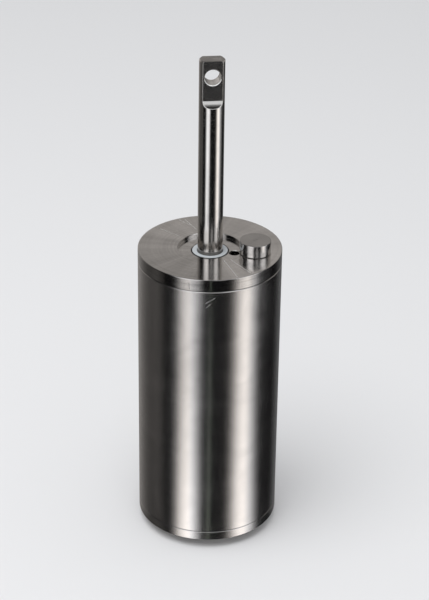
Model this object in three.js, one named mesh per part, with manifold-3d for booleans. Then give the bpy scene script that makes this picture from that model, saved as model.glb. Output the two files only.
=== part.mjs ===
// A turned stainless-steel film developing tank, in millimetres, +Z up.
// The origin is at the centre of the base, on the surface that the tank stands on.
// A rod runs down through a plastic bush in the lid and carries a stack of 35 mm film reels. An eye
// in the rod's top end takes a hook, and a push-in plug closes the filling port beside the rod.
// The eye looks along Y, and the lid is turned by lidTurn on the tank, as it was pushed on.
import * as THREE from "three";
import { mergeVertices } from "three/addons/utils/BufferGeometryUtils.js";
import Module from "manifold-3d";

// ---- Driving dimensions ----

const clearance = 0.3; // between a piece and the one that it fits into
const edgeBreak = 0.3; // chamfer on every turned edge
const ringPlay = 0.1; // between a sealing ring and the wall that it seals against
const clipPlay = 0.15; // between a spring clip or the rod's ring and what it goes round

// Tank
const bodyDiameter = 92;
const bodyWall = 3;
const lidRim = 8.4; // part of the lid that shows above the tube
const baseRim = 6.2; // part of the base that shows below the tube
const spigotDepth = 7; // part of the lid or the base that goes into the tube
const ringSection = 2.4; // thickness of the two large sealing rings

// Feet
const footHeight = 6.5;
const footRadius = 7;
const footInset = 19; // centre of a foot from the tank's edge
const footAngles = [90, 210, 330];
const footTaper = { inward: 1, height: 2 }; // of a foot's wall, at the floor
const footScrewSeat = 3; // how far up inside the foot the screw's head bears
const footScrew = { radius: 2, head: 4, headHeight: 2.4, reach: 4.5, socket: 1.3 };

// Rod
const rodRadius = 8;
const rodAboveLid = 127.5;
const rodEndChamfer = 0.8;
const eyeThickness = 10; // across the two milled flats
const eyeRadius = 5;
const eyeBelowTop = 10.4;
const eyeChamfer = 0.5;
const flatLength = 25.6; // from the top end to where the flats start to run out
const cutterRadius = 4.5; // of the fillet at the lower end of the flats
const pivotRadius = 5; // turned-down lower end of the rod
const pivotLength = 5;

// Foot bearing, a plastic cup that snaps on the rod's lower end
const bearingRadius = 12;
const bearingFloor = 2;
const bearingSocket = 2; // how far it sits in the base
const snapDepth = 0.8;
const snapHeight = 0.8;

// Reel carrier and reels
const carrierRadius = 20;
const carrierThickness = 3;
const clipThickness = 1.2;
const clipGrooveDepth = 1;
const carrierClipReach = 2.5; // of the clip past the rod
const clipOpening = 50; // degrees, of every spring clip
const reelCount = 3;
const filmGap = 35.4; // between a reel's two sides: 35 mm film and a little play
const sideThickness = 2;
const hubWall = 4.7;
const hubOverhang = 0.8; // hub past the outside of each side
const reelToWall = 3;
const reelRimWidth = 2.6;
const spokeCount = 6;
const spokeWidth = 2.8;
const filmClip = { thickness: 0.6, height: 26, spread: 50 };
const collar = { height: 10, wall: 6, screwRadius: 2, screwLength: 4.5, socket: 1.3 };
const collarSocketDepth = 1.5;
const headroom = 16.2; // from the collar to the light baffle

// Lid
const lidTurn = -19.4; // degrees from +X to the plug
const dishDepth = 2.3; // turned recess round the rod
const bushWall = 3.4;
const bushProud = 0.2; // above the floor of the dish
const bushShoulderAboveUnderside = 3.4;
const bushNeckWall = 2.3;
const bushNeckBelow = 3;
const bushLead = 0.4; // chamfer at the mouth of the bush's bore
const bushClipDepth = 0.8; // of the groove for its clip
const rodRingSection = 2.2;
const rodRingSqueeze = 0.05; // bite of its groove's floor into the ring's place
const ventRadius = 3.3;
const ventLand = 0.6; // metal left between the vent and the bush
const dishLand = 1.3; // floor left between the vent and the wall of the dish
const baffleBelowBush = 1;
const baffleThickness = 1.5;
const baffleRim = 4;
const baffleToWall = 5;
const baffleScrew = { radius: 1.5, head: 2.75, headHeight: 2, reach: 4.4, socket: 1 };
const baffleScrewCircle = 26;
const baffleScrewAngles = [60, 180, 300];
const spacerRadius = 3.5;

// Filling plug
const plugRadius = 10;
const plugHeight = 8.5; // above the lid
const plugOverhang = 1.2; // of its head over the edge of the dish
const plugShoulder = 3.5; // of its head past its stem
const plugStemLength = 14;
const plugLead = 1; // chamfer at the lower end of its stem
const portClearance = 0.4;
const plugRing = { section: 1.8, centreAboveEnd: 4, proud: 0.2, play: 0.1 };

// How finely round surfaces are cut
const fine = 48;
const medium = 24;
const small = 12;
const ringSides = 6;
const arcStep = 15; // degrees
const past = 1; // how far a cutter goes past the face that it cuts

// ---- Levels and radii that follow from them, from the base up ----

const bodyRadius = bodyDiameter / 2;
const boreRadius = bodyRadius - bodyWall;
const spigotRadius = boreRadius - clearance;
const baseUnder = footHeight;
const tubeBottom = baseUnder + baseRim;
const baseFloor = tubeBottom + spigotDepth;

const bearingBottom = baseFloor - bearingSocket;
const rodBottom = bearingBottom + bearingFloor;
const bearingTop = rodBottom + pivotLength;
const rodShoulder = bearingTop + clearance;
const clipLevel = rodShoulder + clipThickness;
const carrierBottom = clipLevel + clipThickness;
const stackBottom = carrierBottom + carrierThickness;
const reelPitch = filmGap + 2 * (sideThickness + hubOverhang);
const stackTop = stackBottom + reelCount * reelPitch;
const bushBore = rodRadius + clearance;
const hubRadius = bushBore + hubWall;
const reelRadius = boreRadius - reelToWall;

const baffleUnder = stackTop + collar.height + headroom;
const baffleTop = baffleUnder + baffleThickness;
const bushBottom = baffleTop + baffleBelowBush;
const lidUnder = bushBottom + bushNeckBelow;
const tubeTop = lidUnder + spigotDepth;
const lidTop = tubeTop + lidRim;
const dishFloor = lidTop - dishDepth;
const bushShoulder = lidUnder + bushShoulderAboveUnderside;
const bushTop = dishFloor + bushProud;
const bushRadius = bushBore + bushWall;
const bushSeat = bushRadius + clearance;
const bushNeckRadius = bushBore + bushNeckWall;
const ventOffset = bushSeat + ventLand + ventRadius;
const dishRadius = ventOffset + ventRadius + dishLand;
const plugOffset = dishRadius + plugRadius - plugOverhang;
const plugStemRadius = plugRadius - plugShoulder;
const portRadius = plugStemRadius + portClearance;

const rodTop = lidTop + rodAboveLid;
const eyeCentre = rodTop - eyeBelowTop;
const flatEnd = rodTop - flatLength;

// ---- Finishes ----

const finish = (color, roughness, metalness) =>
  new THREE.MeshStandardMaterial({ color, roughness, metalness });
const turnedSteel = finish(0xa9a6a2, 0.28, 1);
const groundSteel = finish(0xb4b1ad, 0.2, 1);
const reelSteel = finish(0x9c9c9b, 0.35, 1);
const springSteel = finish(0x6f6c68, 0.4, 1);
const whitePlastic = finish(0xe6eaec, 0.5, 0);
const blackRubber = finish(0x1b1b1c, 0.8, 0);

// ---- Shapes ----

const wasm = await Module();
wasm.setup();

// A closed three.js geometry as a solid that can be joined and cut.
function solidOf(geometry) {
  const bare = geometry.clone();
  bare.deleteAttribute("normal");
  bare.deleteAttribute("uv");
  const merged = mergeVertices(bare, 1e-4);
  return new wasm.Manifold(
    new wasm.Mesh({
      numProp: 3,
      vertProperties: new Float32Array(merged.attributes.position.array),
      triVerts: new Uint32Array(merged.index.array),
    }),
  );
}

function geometryOf(solid) {
  const mesh = solid.getMesh();
  const geometry = new THREE.BufferGeometry();
  geometry.setAttribute("position", new THREE.BufferAttribute(mesh.vertProperties, 3));
  geometry.setIndex(new THREE.BufferAttribute(mesh.triVerts, 1));
  geometry.computeVertexNormals();
  return geometry;
}

function cut(geometry, ...tools) {
  return geometryOf(tools.reduce((left, tool) => left.subtract(solidOf(tool)), solidOf(geometry)));
}

// A piece turned about the Z axis. Its outline is a list of [radius, height] that runs up the
// outside and down the inside, from the axis to the axis or back to its start.
function turned(outline, segments = fine) {
  const points = outline.map(([radius, height]) => new THREE.Vector2(radius, height));
  return new THREE.LatheGeometry(points, segments).rotateX(Math.PI / 2);
}

// A plain bar along Z, used to cut holes.
function bar(radius, bottom, top, segments = small) {
  return new THREE.CylinderGeometry(radius, radius, top - bottom, segments)
    .rotateX(Math.PI / 2)
    .translate(0, 0, (bottom + top) / 2);
}

// A flat outline in XY, extruded up from a level.
function plate(shape, bottom, thickness, curveSegments = medium) {
  const settings = { depth: thickness, bevelEnabled: false, curveSegments };
  return new THREE.ExtrudeGeometry(shape, settings).translate(0, 0, bottom);
}

// A rubber ring of round section, lying level.
function sealingRing(insideRadius, section, level, segments) {
  const middle = insideRadius + section / 2;
  return new THREE.TorusGeometry(middle, section / 2, ringSides, segments).translate(0, 0, level);
}

const radians = (degrees) => THREE.MathUtils.degToRad(degrees);
const onCircle = (radius, degrees) => [
  radius * Math.cos(radians(degrees)),
  radius * Math.sin(radians(degrees)),
];

// A part of a ring, from one angle to another, in degrees, as a closed run of points.
function arcBand(inside, outside, from, to) {
  const steps = Math.ceil((to - from) / arcStep);
  const arc = (radius) =>
    new THREE.EllipseCurve(0, 0, radius, radius, radians(from), radians(to)).getPoints(steps);
  return [...arc(outside), ...arc(inside).reverse()];
}

// An open spring clip that snaps into a groove.
function springClip(inside, outside, bottom) {
  const band = arcBand(inside, outside, clipOpening / 2, 360 - clipOpening / 2);
  return plate(new THREE.Shape(band), bottom, clipThickness);
}

// A screw with a hexagon socket, head down, its head resting under a level.
function socketScrew({ radius, head, headHeight, reach, socket }, seat, length) {
  const outline = [
    [0, seat - headHeight],
    [head - edgeBreak, seat - headHeight],
    [head, seat - headHeight + edgeBreak],
    [head, seat],
    [radius, seat],
    [radius, seat + length + reach - edgeBreak],
    [radius - edgeBreak, seat + length + reach],
    [0, seat + length + reach],
  ];
  const hexagon = bar(socket, seat - headHeight - past, seat - headHeight / 3, 6);
  return cut(turned(outline, small), hexagon);
}

// The groove for a large sealing ring, halfway down a spigot.
const ringGroove = { width: ringSection + 2 * clearance, depth: ringSection };
function grooveAround(level) {
  const half = ringGroove.width / 2;
  return [
    [spigotRadius, level - half],
    [spigotRadius - ringGroove.depth, level - half],
    [spigotRadius - ringGroove.depth, level + half],
    [spigotRadius, level + half],
  ];
}

const group = new THREE.Group();

function add(parent, name, geometry, material) {
  const mesh = new THREE.Mesh(geometry, material);
  mesh.name = name;
  parent.add(mesh);
  return mesh;
}

// ---- Tank: tube, base, base seal and three rubber feet ----

add(
  group,
  "tank_tube",
  turned([
    [boreRadius, tubeBottom],
    [bodyRadius - edgeBreak, tubeBottom],
    [bodyRadius, tubeBottom + edgeBreak],
    [bodyRadius, tubeTop - edgeBreak],
    [bodyRadius - edgeBreak, tubeTop],
    [boreRadius, tubeTop],
    [boreRadius, tubeBottom],
  ]),
  turnedSteel,
);

const baseSealLevel = tubeBottom + spigotDepth / 2;
const footCircle = bodyRadius - footInset;

function baseDisc() {
  const socketRadius = bearingRadius + clearance;
  const disc = turned([
    [0, baseUnder],
    [bodyRadius - edgeBreak, baseUnder],
    [bodyRadius, baseUnder + edgeBreak],
    [bodyRadius, tubeBottom - edgeBreak],
    [bodyRadius - edgeBreak, tubeBottom],
    [spigotRadius, tubeBottom],
    ...grooveAround(baseSealLevel),
    [spigotRadius, baseFloor - edgeBreak],
    [spigotRadius - edgeBreak, baseFloor],
    [socketRadius, baseFloor],
    [socketRadius, bearingBottom],
    [0, bearingBottom],
  ]);
  const holes = footAngles.map((angle) =>
    bar(footScrew.radius + clearance, baseUnder - past, baseUnder + footScrew.reach + clearance)
      .translate(...onCircle(footCircle, angle), 0),
  );
  return cut(disc, ...holes);
}

add(group, "base_disc", baseDisc(), turnedSteel);
add(
  group,
  "base_seal",
  sealingRing(boreRadius - ringPlay - ringSection, ringSection, baseSealLevel, fine),
  blackRubber,
);

function rubberFoot() {
  const recess = footScrew.head + clearance;
  const hole = footScrew.radius + clearance;
  return turned(
    [
      [recess, 0],
      [footRadius - footTaper.inward, 0],
      [footRadius, footTaper.height],
      [footRadius, footHeight],
      [hole, footHeight],
      [hole, footScrewSeat],
      [recess, footScrewSeat],
      [recess, 0],
    ],
    medium,
  );
}

footAngles.forEach((angle, i) => {
  const [x, y] = onCircle(footCircle, angle);
  add(group, `rubber_foot_${i + 1}`, rubberFoot(), blackRubber).position.set(x, y, 0);
  const screw = socketScrew(footScrew, footScrewSeat, footHeight - footScrewSeat);
  add(group, `foot_screw_${i + 1}`, screw, turnedSteel).position.set(x, y, 0);
});

// ---- Foot bearing: lifts with the rod and doesn't turn with it ----

const snapMiddle = rodBottom + pivotLength / 2;
const snapHalf = snapHeight / 2;
const pivotBore = pivotRadius + clearance;

add(
  group,
  "foot_bearing",
  turned(
    [
      [0, bearingBottom],
      [bearingRadius - edgeBreak, bearingBottom],
      [bearingRadius, bearingBottom + edgeBreak],
      [bearingRadius, bearingTop - edgeBreak],
      [bearingRadius - edgeBreak, bearingTop],
      [pivotBore, bearingTop],
      [pivotBore, snapMiddle + snapHalf + clearance],
      [pivotBore - snapDepth + clearance, snapMiddle + snapHalf],
      [pivotBore - snapDepth + clearance, snapMiddle - snapHalf],
      [pivotBore, snapMiddle - snapHalf - clearance],
      [pivotBore, rodBottom],
      [0, rodBottom],
    ],
    medium,
  ),
  whitePlastic,
);

// ---- Rod: turned bar, with two milled flats and an eye at the top ----

function flatCutter() {
  const reach = rodRadius + past;
  const flat = eyeThickness / 2;
  const shape = new THREE.Shape();
  shape.moveTo(flat, rodTop + past);
  shape.lineTo(flat, flatEnd);
  shape.absarc(flat + cutterRadius, flatEnd, cutterRadius, Math.PI, 1.5 * Math.PI, false);
  shape.lineTo(reach + cutterRadius, flatEnd - cutterRadius);
  shape.lineTo(reach + cutterRadius, rodTop + past);
  shape.closePath();
  const alongX = new THREE.Matrix4().makeBasis(
    new THREE.Vector3(0, 1, 0),
    new THREE.Vector3(0, 0, 1),
    new THREE.Vector3(1, 0, 0),
  );
  return plate(shape, -reach, 2 * reach).applyMatrix4(alongX);
}

function eyeCutter() {
  const half = eyeThickness / 2;
  const wide = eyeRadius + eyeChamfer;
  const end = rodRadius + past;
  const hole = turned(
    [
      [0, -end],
      [wide, -end],
      [wide, -half],
      [eyeRadius, -half + eyeChamfer],
      [eyeRadius, half - eyeChamfer],
      [wide, half],
      [wide, end],
      [0, end],
    ],
    medium,
  );
  return hole.rotateX(Math.PI / 2).translate(0, 0, eyeCentre);
}

function rod() {
  const clipGroove = rodRadius - clipGrooveDepth;
  const snapGroove = pivotRadius - snapDepth;
  const bar = turned(
    [
      [0, rodBottom],
      [pivotRadius - edgeBreak, rodBottom],
      [pivotRadius, rodBottom + edgeBreak],
      [pivotRadius, snapMiddle - snapHalf - clearance],
      [snapGroove, snapMiddle - snapHalf - clearance],
      [snapGroove, snapMiddle + snapHalf + clearance],
      [pivotRadius, snapMiddle + snapHalf + clearance],
      [pivotRadius, rodShoulder],
      [rodRadius, rodShoulder],
      [rodRadius, clipLevel - clearance],
      [clipGroove, clipLevel - clearance],
      [clipGroove, carrierBottom],
      [rodRadius, carrierBottom],
      [rodRadius, rodTop - rodEndChamfer],
      [rodRadius - rodEndChamfer, rodTop],
      [0, rodTop],
    ],
    medium,
  );
  const front = flatCutter().rotateZ(Math.PI);
  return cut(bar, flatCutter(), front, eyeCutter());
}

add(group, "rod", rod(), groundSteel);

// ---- Reel carrier, film reels and the collar that holds them down ----

add(
  group,
  "carrier_clip",
  springClip(rodRadius - clipGrooveDepth + clipPlay, rodRadius + carrierClipReach, clipLevel),
  springSteel,
);
add(
  group,
  "reel_carrier",
  turned(
    [
      [bushBore, carrierBottom],
      [carrierRadius - edgeBreak, carrierBottom],
      [carrierRadius, carrierBottom + edgeBreak],
      [carrierRadius, stackBottom - edgeBreak],
      [carrierRadius - edgeBreak, stackBottom],
      [bushBore, stackBottom],
      [bushBore, carrierBottom],
    ],
    medium,
  ),
  turnedSteel,
);

// One side of a reel: a rim and a hub ring joined by spokes. It carries the film's spiral.
function reelSide(bottom) {
  const hubRing = hubRadius + clearance + reelRimWidth;
  const rimInside = reelRadius - reelRimWidth;
  const middle = (hubRing + rimInside) / 2;
  const spokeHalf = THREE.MathUtils.radToDeg(spokeWidth / 2 / middle);
  const shape = new THREE.Shape();
  shape.absarc(0, 0, reelRadius, 0, 2 * Math.PI, false);
  const centre = new THREE.Path();
  centre.absarc(0, 0, hubRadius + clearance, 0, 2 * Math.PI, true);
  shape.holes.push(centre);
  for (let i = 0; i < spokeCount; i++) {
    const from = (i * 360) / spokeCount + spokeHalf;
    const to = ((i + 1) * 360) / spokeCount - spokeHalf;
    shape.holes.push(new THREE.Path(arcBand(hubRing, rimInside, from, to)));
  }
  return plate(shape, bottom, sideThickness, small);
}

function reelHub(bottom) {
  return turned(
    [
      [bushBore, bottom],
      [hubRadius, bottom],
      [hubRadius, bottom + reelPitch],
      [bushBore, bottom + reelPitch],
      [bushBore, bottom],
    ],
    medium,
  );
}

// A curved spring plate on the hub that grips the end of the film.
function clipPlate(bottom) {
  const inside = hubRadius + clearance;
  const band = arcBand(inside, inside + filmClip.thickness, -filmClip.spread / 2, filmClip.spread / 2);
  const rise = (reelPitch - filmClip.height) / 2;
  return plate(new THREE.Shape(band), bottom + rise, filmClip.height);
}

for (let i = 0; i < reelCount; i++) {
  const bottom = stackBottom + i * reelPitch;
  const lowerSide = bottom + hubOverhang;
  const upperSide = lowerSide + sideThickness + filmGap;
  const reel = `reel_${i + 1}`;
  add(group, `${reel}_hub`, reelHub(bottom), reelSteel);
  add(group, `${reel}_lower_side`, reelSide(lowerSide), reelSteel);
  add(group, `${reel}_upper_side`, reelSide(upperSide), reelSteel);
  add(group, `${reel}_film_clip`, clipPlate(bottom), springSteel);
}

function stopCollar() {
  const outside = bushBore + collar.wall;
  const ring = turned(
    [
      [bushBore, stackTop],
      [outside - edgeBreak, stackTop],
      [outside, stackTop + edgeBreak],
      [outside, stackTop + collar.height - edgeBreak],
      [outside - edgeBreak, stackTop + collar.height],
      [bushBore, stackTop + collar.height],
      [bushBore, stackTop],
    ],
    medium,
  );
  const tapped = bar(collar.screwRadius + clearance, rodRadius - past, outside + past)
    .rotateX(Math.PI / 2)
    .translate(0, 0, stackTop + collar.height / 2);
  return cut(ring, tapped);
}

// A grub screw whose flat end bears on the rod, from the front.
function collarScrew() {
  const inner = rodRadius + clearance;
  const outer = inner + collar.screwLength;
  const body = turned(
    [
      [0, inner],
      [collar.screwRadius, inner],
      [collar.screwRadius, outer - edgeBreak],
      [collar.screwRadius - edgeBreak, outer],
      [0, outer],
    ],
    small,
  );
  const hexagon = bar(collar.socket, outer - collarSocketDepth, outer + past, 6);
  return cut(body, hexagon)
    .rotateX(Math.PI / 2)
    .translate(0, 0, stackTop + collar.height / 2);
}

add(group, "stop_collar", stopCollar(), turnedSteel);
add(group, "collar_screw", collarScrew(), springSteel);

// ---- Lid: disc, seal, guide bush, light baffle and filling plug, turned together ----

const lid = new THREE.Group();
lid.rotation.z = radians(lidTurn);
group.add(lid);
const lidSealLevel = tubeTop - spigotDepth / 2;

function lidDisc() {
  const neckSeat = bushNeckRadius + clearance;
  const disc = turned([
    [neckSeat, lidUnder],
    [spigotRadius - edgeBreak, lidUnder],
    [spigotRadius, lidUnder + edgeBreak],
    ...grooveAround(lidSealLevel),
    [spigotRadius, tubeTop],
    [bodyRadius - edgeBreak, tubeTop],
    [bodyRadius, tubeTop + edgeBreak],
    [bodyRadius, lidTop - edgeBreak],
    [bodyRadius - edgeBreak, lidTop],
    [dishRadius, lidTop],
    [dishRadius, dishFloor],
    [bushSeat, dishFloor],
    [bushSeat, bushShoulder],
    [neckSeat, bushShoulder],
    [neckSeat, lidUnder],
  ]);
  const vent = bar(ventRadius, lidUnder - past, lidTop + past, medium).translate(ventOffset, 0, 0);
  const port = bar(portRadius, lidUnder - past, lidTop + past, medium).translate(plugOffset, 0, 0);
  const screwHoles = baffleScrewAngles.map((angle) =>
    bar(baffleScrew.radius + clearance, lidUnder - past, lidUnder + baffleScrew.reach + clearance)
      .translate(...onCircle(baffleScrewCircle, angle), 0),
  );
  return cut(disc, vent, port, ...screwHoles);
}

add(lid, "lid_disc", lidDisc(), turnedSteel);
add(
  lid,
  "lid_seal",
  sealingRing(boreRadius - ringPlay - ringSection, ringSection, lidSealLevel, fine),
  blackRubber,
);

const rodRingLevel = (bushTop + bushShoulder) / 2;
const clipSeat = bushNeckRadius - bushClipDepth;

function guideBush() {
  const half = rodRingSection / 2 + clearance;
  const ringSeat = bushBore + rodRingSection - rodRingSqueeze;
  return turned(
    [
      [bushBore, bushBottom],
      [bushNeckRadius, bushBottom],
      [bushNeckRadius, lidUnder - clipThickness],
      [clipSeat, lidUnder - clipThickness],
      [clipSeat, lidUnder],
      [bushNeckRadius, lidUnder],
      [bushNeckRadius, bushShoulder],
      [bushRadius, bushShoulder],
      [bushRadius, bushTop - edgeBreak],
      [bushRadius - edgeBreak, bushTop],
      [bushBore + bushLead, bushTop],
      [bushBore, bushTop - bushLead],
      [bushBore, rodRingLevel + half],
      [ringSeat, rodRingLevel + half],
      [ringSeat, rodRingLevel - half],
      [bushBore, rodRingLevel - half],
      [bushBore, bushBottom],
    ],
    medium,
  );
}

add(lid, "guide_bush", guideBush(), whitePlastic);
add(
  lid,
  "rod_seal",
  sealingRing(rodRadius + clipPlay, rodRingSection, rodRingLevel, medium),
  blackRubber,
);
add(
  lid,
  "bush_clip",
  springClip(clipSeat + clipPlay, bushSeat - clipPlay, lidUnder - clipThickness),
  springSteel,
);

// A shallow dished plate under the lid that keeps light from the vent and the port off the film.
function lightBaffle() {
  const outside = boreRadius - baffleToWall;
  const dished = turned([
    [bushBore, baffleUnder],
    [outside - baffleThickness, baffleUnder],
    [outside - baffleThickness, baffleTop - baffleRim],
    [outside, baffleTop - baffleRim],
    [outside, baffleTop - edgeBreak],
    [outside - edgeBreak, baffleTop],
    [bushBore, baffleTop],
    [bushBore, baffleUnder],
  ]);
  const holes = baffleScrewAngles.map((angle) =>
    bar(baffleScrew.radius + clearance, baffleUnder - past, baffleTop + past)
      .translate(...onCircle(baffleScrewCircle, angle), 0),
  );
  return cut(dished, ...holes);
}

add(lid, "light_baffle", lightBaffle(), reelSteel);

baffleScrewAngles.forEach((angle, i) => {
  const [x, y] = onCircle(baffleScrewCircle, angle);
  const hole = baffleScrew.radius + clearance;
  const spacer = turned(
    [
      [hole, baffleTop],
      [spacerRadius, baffleTop],
      [spacerRadius, lidUnder],
      [hole, lidUnder],
      [hole, baffleTop],
    ],
    small,
  );
  add(lid, `baffle_spacer_${i + 1}`, spacer, turnedSteel).position.set(x, y, 0);
  const screw = socketScrew(baffleScrew, baffleUnder, lidUnder - baffleUnder);
  add(lid, `baffle_screw_${i + 1}`, screw, turnedSteel).position.set(x, y, 0);
});

const plugUnder = lidTop + clearance;
const plugEnd = plugUnder - plugStemLength;
const plugRingLevel = plugEnd + plugRing.centreAboveEnd;

function fillingPlug() {
  const grooveHalf = plugRing.section / 2 + plugRing.proud;
  const groove = plugStemRadius + plugRing.proud - plugRing.section - plugRing.play;
  return turned(
    [
      [0, plugEnd],
      [plugStemRadius - plugLead, plugEnd],
      [plugStemRadius, plugEnd + plugLead],
      [plugStemRadius, plugRingLevel - grooveHalf],
      [groove, plugRingLevel - grooveHalf],
      [groove, plugRingLevel + grooveHalf],
      [plugStemRadius, plugRingLevel + grooveHalf],
      [plugStemRadius, plugUnder],
      [plugRadius - edgeBreak, plugUnder],
      [plugRadius, plugUnder + edgeBreak],
      [plugRadius, plugUnder + plugHeight - clearance - edgeBreak],
      [plugRadius - edgeBreak, plugUnder + plugHeight - clearance],
      [0, plugUnder + plugHeight - clearance],
    ],
    medium,
  );
}

const plug = new THREE.Group();
plug.position.x = plugOffset;
lid.add(plug);
add(plug, "filling_plug", fillingPlug(), turnedSteel);
add(
  plug,
  "plug_seal",
  sealingRing(plugStemRadius + plugRing.proud - plugRing.section, plugRing.section, plugRingLevel, medium),
  blackRubber,
);

export default group;
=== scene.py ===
# A turned stainless-steel film developing tank, with its reels, on a pale studio floor.
# Everything is in metres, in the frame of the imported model. The pieces follow in the order in which
# the tank is put together.
from functools import partial
from math import asin, atan2, cos, pi, radians, sin, sqrt

import bmesh
import bpy
from mathutils import Matrix, Vector


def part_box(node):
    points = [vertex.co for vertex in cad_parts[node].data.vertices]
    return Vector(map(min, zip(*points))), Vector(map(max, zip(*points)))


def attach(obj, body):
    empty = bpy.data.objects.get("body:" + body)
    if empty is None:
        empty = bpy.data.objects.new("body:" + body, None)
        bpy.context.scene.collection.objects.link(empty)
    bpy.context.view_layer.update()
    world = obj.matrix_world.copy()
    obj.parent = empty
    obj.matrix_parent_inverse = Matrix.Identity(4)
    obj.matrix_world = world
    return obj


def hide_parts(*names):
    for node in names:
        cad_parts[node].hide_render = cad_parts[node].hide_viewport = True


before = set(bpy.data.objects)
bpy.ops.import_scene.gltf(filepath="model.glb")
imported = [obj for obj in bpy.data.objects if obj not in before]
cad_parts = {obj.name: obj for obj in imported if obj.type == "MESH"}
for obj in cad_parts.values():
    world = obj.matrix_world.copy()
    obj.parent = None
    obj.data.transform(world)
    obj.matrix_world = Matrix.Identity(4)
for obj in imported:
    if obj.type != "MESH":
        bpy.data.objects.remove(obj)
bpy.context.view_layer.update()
scene = bpy.context.scene

# ---- Camera ----
# It stands in front of the tank, a little to the left of the line through the eye, and looks down
# on the lid with a long lens.

camera_azimuth = radians(-7)
camera_pitch = radians(28.335)
camera_roll = radians(0.765)
camera_distance = 1.1138  # level, from the rod
camera_height = 0.7628
camera_aside = 0.0033

camera_data = bpy.data.cameras.new("camera")
camera_data.lens = 117.7
camera_data.sensor_width = 36
camera = bpy.data.objects.new("camera", camera_data)
scene.collection.objects.link(camera)
turn = Matrix.Rotation(camera_azimuth, 4, "Z")
camera.matrix_world = (
    turn
    @ Matrix.Translation((camera_aside, -camera_distance, camera_height))
    @ Matrix.Rotation(pi / 2 - camera_pitch, 4, "X")
    @ Matrix.Rotation(camera_roll, 4, "Z")
)
scene.camera = camera
scene.view_settings.view_transform = "Standard"

# ---- Floor and studio ----
# A pale matt floor, one soft lamp overhead, and soft panels round the tank that show only as
# reflections in the steel: bright ones to each side in front, with darkness between them, and dim ones
# behind, above and below.


def fill(node, *fed, **named):
    """Fills in a node. What is fed goes to its inputs in order. What is named goes to the input of that
    name, with _ for a space, or in small letters to the node's own setting. An output of another node
    is linked, and anything else is set as a value."""
    for name, value in named.items():
        if name.islower():
            setattr(node, name, value)
    inputs = [(name.replace("_", " "), given) for name, given in named.items() if not name.islower()]
    for place, given in [*enumerate(fed), *inputs]:
        if isinstance(given, bpy.types.NodeSocket):
            node.id_data.links.new(given, node.inputs[place])
        else:
            node.inputs[place].default_value = given
    return node


def put(tree, kind, *fed, out=None, **named):
    """Adds a filled-in node to a tree and gives its output: the one named, or the first in use, if any."""
    node = fill(tree.nodes.new(kind), *fed, **named)
    return node.outputs[out] if out else next((output for output in node.outputs if output.enabled), None)


def new_material(name):
    """A new material and its shader node."""
    material = bpy.data.materials.new(name)
    material.use_nodes = True
    return material, material.node_tree.nodes["Principled BSDF"]


floor_mesh = bpy.data.meshes.new("floor")
half = 4.0
floor_mesh.from_pydata(
    [(-half, -half, 0), (half, -half, 0), (half, half, 0), (-half, half, 0)], [], [(0, 1, 2, 3)]
)
floor = bpy.data.objects.new("floor", floor_mesh)
scene.collection.objects.link(floor)
floor.visible_glossy = False
floor_paint, floor_shader = new_material("floor_paint")
fill(floor_shader, Base_Color=(0.78, 0.78, 0.79, 1), Roughness=0.9, Specular_IOR_Level=0.1)
floor.data.materials.append(floor_paint)

lamp_data = bpy.data.lights.new("overhead_lamp", "AREA")
lamp_data.shape = "DISK"
lamp_data.size = 1.6
lamp_data.energy = 22
lamp = bpy.data.objects.new("overhead_lamp", lamp_data)
lamp.location = (-0.5, -0.5, 1.9)
lamp_target = Vector((0, 0, 0.1))
lamp.rotation_euler = (lamp_target - lamp.location).to_track_quat("-Z", "Y").to_euler()
lamp.visible_glossy = False
scene.collection.objects.link(lamp)

world = bpy.data.worlds.new("studio")
scene.world = world
world.use_nodes = True
world.cycles.sampling_method = "NONE"
room = world.node_tree
room_light = fill(room.nodes["Background"], Color=(0.86, 0.87, 0.88, 1), Strength=0.75)
dark_side = put(room, "ShaderNodeBackground", Color=(0.006, 0.006, 0.0065, 1), Strength=1.0)
in_steel = put(room, "ShaderNodeLightPath", out="Is Glossy Ray")
either = put(room, "ShaderNodeMixShader", in_steel, room_light.outputs["Background"], dark_side)
fill(room.nodes["World Output"], Surface=either)

panel_reach = 2.4  # from the axis


def glowing(name):
    """A material that only glows, and its emission node."""
    light, shader = new_material(name)
    light.cycles.emission_sampling = "NONE"
    nodes = light.node_tree.nodes
    nodes.remove(shader)
    glow = nodes.new("ShaderNodeEmission")
    fill(nodes["Material Output"], Surface=glow.outputs["Emission"])
    return light, glow


def seen_in_steel(name, mesh, light):
    """Sets up a glowing sheet that only reflections show."""
    mesh.materials.append(light)
    sheet = bpy.data.objects.new(name, mesh)
    scene.collection.objects.link(sheet)
    sheet.visible_camera = sheet.visible_diffuse = sheet.visible_shadow = False
    sheet.visible_transmission = sheet.visible_volume_scatter = False


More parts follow.
